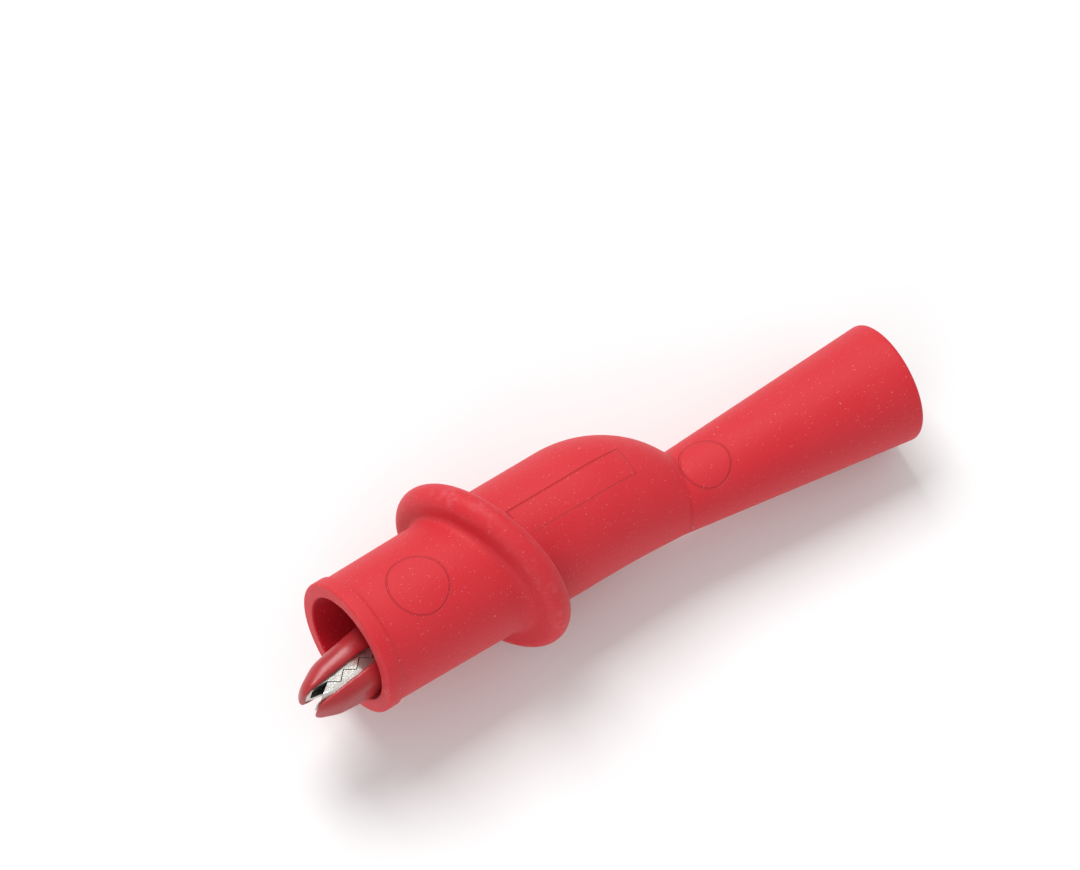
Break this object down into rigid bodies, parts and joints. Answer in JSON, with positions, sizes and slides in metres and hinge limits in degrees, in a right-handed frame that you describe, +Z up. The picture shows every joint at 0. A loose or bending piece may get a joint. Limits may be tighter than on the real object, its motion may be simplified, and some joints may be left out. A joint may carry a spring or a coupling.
{
  "type": "alligator test clip",
  "caption": "Slip-on alligator clip for a test probe: sprung toothed jaws with vinyl sleeves in a red insulating boot with finger flange, thumb hump and rear probe cone.",
  "frame": {"origin": "middle of the footprint at the table, as the clip lies on its side on its flange and the end of its cone", "axes": "+X back along the clip, from the jaws to the probe cone; +Y towards the thumb hump; +Z up, out of the clip's side"},
  "size_m": [0.0852, 0.0254, 0.0246],
  "materials": {
    "boot_elastomer": "matte",
    "jaw_vinyl": "satin",
    "nickel_plated_steel": "polished",
    "rivet_steel": "satin",
    "spring_steel": "satin",
    "plated_brass": "satin",
    "contact_copper": "satin",
    "screw_steel": "satin"
  },
  "bodies": {
    "clip_body": {"insulating_boot": "boot_elastomer", "fixed_jaw": "nickel_plated_steel", "fixed_jaw_sleeve": "jaw_vinyl", "pivot_rivet": "rivet_steel", "pivot_spacer": "rivet_steel", "torsion_spring": "spring_steel", "probe_socket": "plated_brass", "contact_spring": "contact_copper", "socket_screw": "screw_steel"},
    "upper_jaw": {"moving_jaw": "nickel_plated_steel", "moving_jaw_sleeve": "jaw_vinyl"}
  },
  "joints": [
    {"name": "jaw_open", "type": "hinge", "parent": "clip_body", "child": "upper_jaw", "pos_m": [-0.01631, -0.00077, 0.01249], "axis": [-0.0841, 0, -0.9965], "range_deg": [0, 15], "stiffness_Nm_per_rad": 0.06, "springref_deg": -91.67, "deforming": ["torsion_spring"]}
  ]
}
